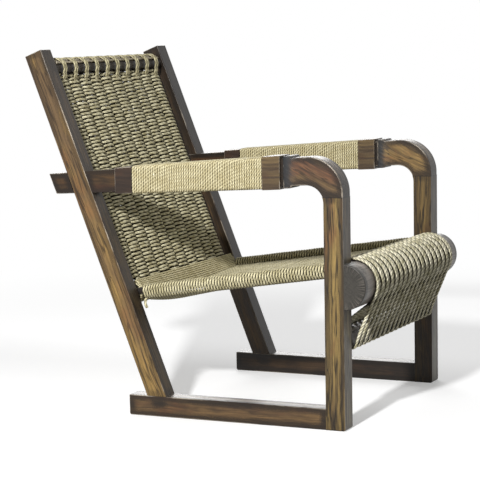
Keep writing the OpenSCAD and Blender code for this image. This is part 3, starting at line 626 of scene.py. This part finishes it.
def weft_row(row):
    """Points and thickness shares of one row and of the turn to the next one."""
    points, shares = [], []
    way = 1 if row % 2 == 0 else -1
    up = weave_foot + row * weft_pitch
    for at in np.linspace(-half_weave, half_weave, 181):
        phase = math.pi * ((way * at - warp_x[0]) / warp_pitch + row)
        weave = math.cos(phase)
        uneven = noise.noise(Vector((way * at * 21, row * 0.3, 0.3)))
        loose = noise.noise(Vector((way * at * 34, row * 1.7, 5.1)))
        # The stiff rope lies straight over each warp and dives steeply between two
        proud = math.copysign(abs(weave) ** 0.6, weave)
        points.append(on_panel(way * at, up + uneven * row_waver,
                               proud * weft_swing * (1 + 0.25 * loose)))
        shares.append(0.7 + 0.3 * abs(weave) ** 0.5 + 0.07 * loose)
    side = 1 if way > 0 else -1
    last = math.cos(math.pi * ((side * half_weave - warp_x[0]) / warp_pitch + row))
    for turn in np.linspace(0, math.pi, 16)[1:-1]:
        points.append(on_panel(side * (half_weave + weft_turn * math.sin(turn)),
                               up + weft_pitch * turn / math.pi, last * weft_swing * math.cos(turn)))
        shares.append(0.75 + 0.25 * abs(math.cos(turn)))
    return points, shares


for band, first, last_row in (("low", 0, 39), ("middle", 39, 78), ("high", 78, weft_rows)):
    run, run_shares = [], []
    for row in range(first, last_row):
        points, shares = weft_row(row)
        run += points
        run_shares += shares
    weft = laid_cord("back_weft_" + band, [run], thick=0.0094, lay=0.045, material=weft_grass, ring=0.0032,
                     swell=[run_shares], ply_depth=0.12)
    if band == "middle":
        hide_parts("back_weave")

# ---------------------------------------------------------------- cord over the top bar
# Six fine cords lie lengthwise over the top bar and pad it. The ends of the warps loop over them in
# ten fans of three strands, which close up again where they enter the weave.
bar_radius = 0.016
bar_half = 0.262
lay_out = bar_radius + 0.0033
lay_runs = []
for number in range(6):
    angle = math.radians(-62 + 24.8 * number)
    run = []
    for x in np.linspace(-bar_half, bar_half, 90):
        sway = angle + 0.06 * noise.noise(Vector((x * 25, number * 3.1, 0)))
        run.append(top_centre + Vector((x, 0, 0)) + panel_up * lay_out * math.cos(sway)
                   + panel_front * lay_out * math.sin(sway))
    lay_runs.append(run)
grey_grass = seagrass("seagrass_lay_cord", light="#b7ae98", straw="#968d7b", shade="#4b4336", grooves=0.3)
top_lay = laid_cord("top_lay_cords", lay_runs, thick=0.0068, lay=0.03, material=grey_grass, ring=0.003,
                    ply_depth=0.1)
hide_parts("top_lay")

pale_grass = seagrass("seagrass_loop_cord", light="#c6be9b", straw="#9f9776", shade="#352d1d",
                      grooves=0.65)
loop_foot = panel_length - 0.040
loop_neck = panel_length - 0.030
foot_spread, neck_spread = 0.0034, 0.0040
foot_out, neck_out = 0.0035, 0.0095
loop_out = bar_radius + 0.0075
loop_runs = []
for number, x in enumerate(warp_x):
    for strand in (-1, 0, 1):
        ring_out = loop_out + 0.0006 * abs(strand)
        lean_over = 0.004 * noise.noise(Vector((number * 1.9, 0.4, 0)))
        run = [on_panel(x + strand * foot_spread, loop_foot, foot_out),
               on_panel(x + strand * neck_spread, loop_neck, neck_out)]
        for degrees in range(105, -106, -15):
            angle = math.radians(degrees)
            fan = x + strand * (0.0042 + 0.0030 * max(0, math.cos(angle))) + lean_over * math.cos(angle)
            fan -= 0.009 * (1 - math.sin(angle))
            run.append(on_panel(fan, panel_length + ring_out * math.cos(angle), ring_out * math.sin(angle)))
        run.append(on_panel(x + strand * neck_spread, loop_neck, -neck_out))
        run.append(on_panel(x + strand * foot_spread, loop_foot, -foot_out))
        loop_runs.append(rounded_line(run))
loops = laid_cord("top_loops_cord", loop_runs, thick=0.006, lay=0.03, material=pale_grass, ring=0.002,
                  ply_depth=0.12)
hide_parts("top_loops")

# ---------------------------------------------------------------- cords on the rear bar
# Where the back and the seat meet, 30 fine seagrass cords lie side by side along the rear bar and
# hide it. They carry on the lines of the seat up to the lowest rows of the back.
cover_cords = 30
cover_out = 0.0243
cover_x = np.linspace(-bar_half, bar_half, 60)
cover_runs = []
for number in range(cover_cords):
    angle = 2 * math.pi * number / cover_cords
    cover_runs.append([panel_foot + Vector((x, cover_out * math.cos(angle), cover_out * math.sin(angle)))
                       for x in cover_x])
# Eight more fill the corner in front of the bar, so that the seat runs up into the lowest rows. They
# lie from the seat, where they sag with it, up to the foot of the back
seat_side = (-0.0334, 0.0065)
back_side = (-0.0115, 0.0295)
seat_sag = 0.008
for share in np.linspace(0, 1, 8):
    fill_y = seat_side[0] * (1 - share) + back_side[0] * share
    fill_z = seat_side[1] * (1 - share) + back_side[1] * share
    cover_runs.append([panel_foot + Vector((x, fill_y, fill_z - seat_sag * (1 - share)
                                            * (1 - (x / bar_half) ** 2))) for x in cover_x])
cover_grass = seagrass("seagrass_bar_cord", light="#d8cfaa", straw="#bcb28b", shade="#6a5f43", mottle=22,
                       grooves=0.6, crease=(0.0, 0.35))
cover = laid_cord("rear_bar_cords", cover_runs, thick=0.0058, lay=0.014, material=cover_grass, sides=6,
                  ring=0.003)
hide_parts("rear_bar_wrap")

# ---------------------------------------------------------------- seat
# Fine seagrass cord wound 68 times round the two seat rails. The upper and the lower runs sag apart,
# and the turns lie side by side in the lean of the seat, from the roller to the rear bar.
rail_low, rail_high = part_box("seat_rail_right")
rail_x = abs(rail_low.x + rail_high.x) / 2
seat_fall = math.radians(8.2)
seat_back = Vector((0, math.cos(seat_fall), -math.sin(seat_fall)))
seat_up = Vector((0, math.sin(seat_fall), math.cos(seat_fall)))
rail_middle = (rail_low + rail_high) / 2
seat_axis = Vector((0, rail_middle.y, rail_middle.z))
seat_reach = 0.2335
turn_pitch = 0.007
rail_radius, rope_gap, cord_radius = 0.009, 0.0003, 0.003
cord_ring = rail_radius + rope_gap + cord_radius
slack_under = 1.4
seat_turns = 68
bend_points, over_points, under_points = 16, 58, 38


def seat_point(across, back, up):
    """A point of the seat: across the chair, back along the rails from their middle, and up from them."""
    return seat_axis + Vector((across, 0, 0)) + seat_back * back + seat_up * up


def ring_height(angle):
    """Height of a turn round a rail. It lies on top of the rail and stands off below it."""
    level = math.sin(angle)
    return cord_ring * (level if level > 0 else level * (1 + (slack_under - 1) * -level))


def seat_turn(number):
    """One turn: over the right rail, across, round the left rail and back underneath."""
    start = -seat_reach + number * turn_pitch
    points = []
    dip = math.radians(-24)
    slack = 0.0007 * noise.noise(Vector((number * 0.9, 0, 0)))
    for angle in np.linspace(math.radians(270), dip, bend_points):
        points.append(seat_point(-rail_x + cord_ring * math.cos(angle), start, ring_height(angle)))
    inner = rail_x - cord_ring * math.cos(dip)
    for across in np.linspace(-inner, inner, over_points + 2)[1:-1]:
        sag = seat_sag * (1 - (across / inner) ** 2)
        wave = noise.noise(Vector((across * 9, number * 0.45, 2.2)))
        points.append(seat_point(across, start + 0.0011 * wave,
                                 ring_height(dip) - sag + slack + 0.0009 * wave))
    for angle in np.linspace(math.pi - dip, math.radians(-90), bend_points):
        points.append(seat_point(rail_x + cord_ring * math.cos(angle), start, ring_height(angle)))
    # The lower run hangs lowest at the rear
    droop = 0.010 + 0.016 * max(0, number / seat_turns - 0.6) / 0.4
    for across in np.linspace(rail_x, -rail_x, under_points + 2)[1:-1]:
        sag = droop * (1 - (across / rail_x) ** 2)
        done = (rail_x - across) / (2 * rail_x)
        points.append(seat_point(across, start + turn_pitch * done, ring_height(math.radians(-90)) - sag))
    return points


seat_grass = seagrass("seagrass_seat_cord", light="#e0d7b1", straw="#c3b991", shade="#2e2718", mottle=22,
                      grooves=0.6, crease=(0.2, 0.65))
# The cord is drawn tight, and so thinner, where it bends round a rail
bend_swell = [0.84] * bend_points
turn_swell = bend_swell + [1.0] * over_points + bend_swell + [1.0] * under_points
for part, first, last_turn in (("front", 0, 22), ("middle", 22, 44), ("rear", 44, seat_turns)):
    run = []
    for number in range(first, last_turn):
        run += seat_turn(number)
    runs = [run]
    swells = [turn_swell * (last_turn - first)]
    if part == "rear":
        # The cord's end hangs a little way under the rear end of the right rail
        knot = Vector((-rail_x, rail_high.y - 0.034, rail_low.z - 0.002))
        hang = ((0, 0, 0), (-0.004, 0.002, -0.008), (-0.005, 0.003, -0.016), (-0.003, -0.001, -0.026))
        runs.append(rounded_line([knot + Vector(step) for step in hang]))
        swells.append([1.0] * len(runs[1]))
    seat = laid_cord("seat_cord_" + part, runs, thick=0.0074, lay=0.028, material=seat_grass, sides=6,
                     ring=0.003, swell=swells, ply_depth=0.1)
    if part == "middle":
        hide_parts("seat_weave")

# ---------------------------------------------------------------- roller and apron ropes
# Eighteen pairs of thick seagrass rope come up behind the roller and pass over it. The first rope of
# each pair drops to the front of the low stretcher, the other leaves further round, goes down behind
# the stretcher, and both end under it.
roller_low, roller_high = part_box("front_roller")
roller_r = (roller_high.z - roller_low.z) / 2
roller_axis = Vector((0, roller_low.y + roller_r, (roller_low.z + roller_high.z) / 2))
bar_low, bar_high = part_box("front_stretcher")
rope_d = 0.008
clear = rope_d / 2 + rope_gap
rope_pairs = 18
pair_pitch = 0.02988
behind_roller, above_rail, off_to_front, off_to_rear = -100, -26, 112, 142.5
rope_grass = seagrass("seagrass_apron_rope", light="#fff8dc", straw="#c8c19e", shade="#17120b", plies=3,
                      mottle=18, grooves=0.74, crease=(0.54, 0.98), reach=0.014)


def over_roller(x, first, last):
    """Points of a rope over the roller, between two angles from its top, positive to the front."""
    out = roller_r + clear
    return [roller_axis + Vector((x, -out * math.sin(math.radians(a)), out * math.cos(math.radians(a))))
            for a in np.arange(first, last, 4)]


rope_runs = []
end_y = (bar_low.y + bar_high.y) / 2
under = bar_low.z - clear
for pair in range(rope_pairs):
    middle_x = -bar_half + pair_pitch * pair
    # The outermost ropes start on top of the roller, where they pass over the ends of the seat rails
    first = above_rail if pair in (0, rope_pairs - 1) else behind_roller
    x = middle_x + rope_d / 2
    front = over_roller(x, first, off_to_front)
    front += [(x, bar_low.y - clear, bar_low.z + 0.006), (x, bar_low.y - clear, bar_low.z - 0.001),
              (x, bar_low.y + 0.001, under), (x, bar_low.y + 0.008, under), (x, end_y - 0.0005, under)]
    x = middle_x + 1.5 * rope_d
    back = over_roller(x, first, off_to_rear)
    back += [(x, bar_high.y, bar_high.z + clear), (x, bar_high.y + clear, bar_high.z + 0.001),
             (x, bar_high.y + clear, bar_high.z - 0.008), (x, bar_high.y + clear, bar_low.z + 0.006),
             (x, bar_high.y + clear, bar_low.z - 0.001), (x, bar_high.y - 0.001, under),
             (x, bar_high.y - 0.008, under), (x, end_y + 0.0005, under)]
    for run in (front, back):
        line = rounded_line(run, 2)
        for point in line:
            point[0] += 0.0007 * noise.noise(Vector((pair * 3.3 + x, point[1] * 20, point[2] * 20)))
        rope_runs.append(line)
apron = laid_cord("apron_ropes", rope_runs, thick=rope_d, lay=0.03, material=rope_grass, plies=3, sides=9,
                  ring=0.0024, ply_depth=0.1)
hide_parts("roller_ropes", "apron_front_ropes", "apron_rear_ropes", "stretcher_turns")

# ---------------------------------------------------------------- arm windings
# Fine seagrass cord wound about 55 times round each arm, one turn beside the next, from cuff to cuff.
# The turns are drawn up tight and bend sharply at the four edges of the arm.
wrap_grass = seagrass("seagrass_fine_cord", light="#d6cda9", straw="#c2b790", shade="#85795a", mottle=16,
                      grooves=0.7, crease=(0.0, 0.4))
sleeve = 0.006
inside = 0.0031
corner = 0.0045
corner_points = 5
winding_pitch = 0.006
end_gap = 0.0035
roof_fall, soffit_fall = 0.0734, 0.0507
for side in ("right", "left"):
    wrap_low, wrap_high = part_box("arm_wrap_" + side)
    arm_low, arm_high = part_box("arm_rail_" + side)
    low_x = arm_low.x - inside
    high_x = arm_high.x + inside
    start = wrap_low.y + end_gap
    stop = wrap_high.y - end_gap
    turns = round((stop - start) / winding_pitch)
    # The arm falls to the rear, its top a little faster than its underside
    roof = (wrap_high.z - sleeve + inside, wrap_high.z - sleeve + inside - (stop - start) * roof_fall)
    soffit = (wrap_low.z + sleeve - inside + (stop - start) * soffit_fall, wrap_low.z + sleeve - inside)
    corners = [(low_x, False, 180, 270), (high_x, False, 270, 360),
               (high_x, True, 0, 90), (low_x, True, 90, 180)]
    run = []
    steps = len(corners) * corner_points
    # One more turn at each end lies flat against its cuff and covers the gap there
    for turn in range(-1, turns + 1):
        for number, (x, is_top, from_angle, to_angle) in enumerate(corners):
            for point, degrees in enumerate(np.linspace(from_angle, to_angle, corner_points)):
                done = min(max((turn + (number * corner_points + point) / steps) / turns, 0), 1)
                y = start + (stop - start) * done
                level = roof if is_top else soffit
                height = level[0] + (level[1] - level[0]) * done
                angle = math.radians(degrees)
                centre_x = x + corner if x == low_x else x - corner
                centre_z = height - corner if is_top else height + corner
                run.append((centre_x + corner * math.cos(angle), y, centre_z + corner * math.sin(angle)))
    winding = laid_cord("arm_winding_" + side, [run], thick=0.0062, lay=0.016, material=wrap_grass, sides=6,
                        ring=0.0025, ply_depth=0.12)
    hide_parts("arm_wrap_" + side)
